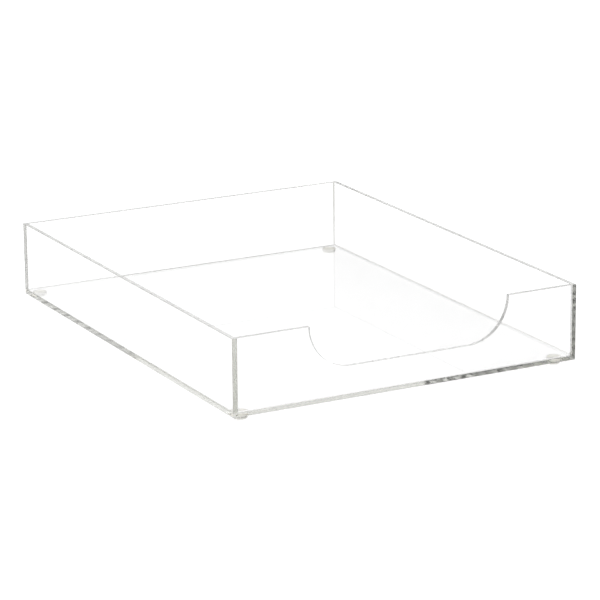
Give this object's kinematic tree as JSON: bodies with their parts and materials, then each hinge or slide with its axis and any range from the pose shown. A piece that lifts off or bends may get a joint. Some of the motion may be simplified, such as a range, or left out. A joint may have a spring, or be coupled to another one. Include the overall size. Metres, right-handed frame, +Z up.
{
  "type": "letter tray",
  "caption": "Open clear acrylic tray for letter or A4 paper, made of flat cemented panels, with a round-cornered finger notch in the front and clear bumper feet.",
  "frame": {"origin": "on the surface that the feet stand on, under the middle of the tray's outside", "axes": "+Z up, +Y along the tray's length to the back so the notched front is at -Y, +X to the right"},
  "size_m": [0.254, 0.33, 0.0548],
  "materials": {
    "clear_acrylic": "clear, polished faces, with finely sawn and polished edges",
    "acrylic_cement": "clear cured cement with a few fine bubbles",
    "clear_polyurethane": "clear soft bumper, slightly yellowed and hazy",
    "adhesive_film": "translucent adhesive film"
  },
  "bodies": {
    "root": {"base_panel": "clear_acrylic", "left_side_panel": "clear_acrylic", "right_side_panel": "clear_acrylic", "back_panel": "clear_acrylic", "front_panel": "clear_acrylic", "cement_left_side_to_base": "acrylic_cement", "cement_right_side_to_base": "acrylic_cement", "cement_front_to_base": "acrylic_cement", "cement_back_to_base": "acrylic_cement", "cement_front_left_corner": "acrylic_cement", "cement_front_right_corner": "acrylic_cement", "cement_back_left_corner": "acrylic_cement", "cement_back_right_corner": "acrylic_cement", "front_left_foot": "clear_polyurethane", "front_right_foot": "clear_polyurethane", "back_left_foot": "clear_polyurethane", "back_right_foot": "clear_polyurethane", "front_left_foot_adhesive": "adhesive_film", "front_right_foot_adhesive": "adhesive_film", "back_left_foot_adhesive": "adhesive_film", "back_right_foot_adhesive": "adhesive_film"}
  },
  "joints": []
}
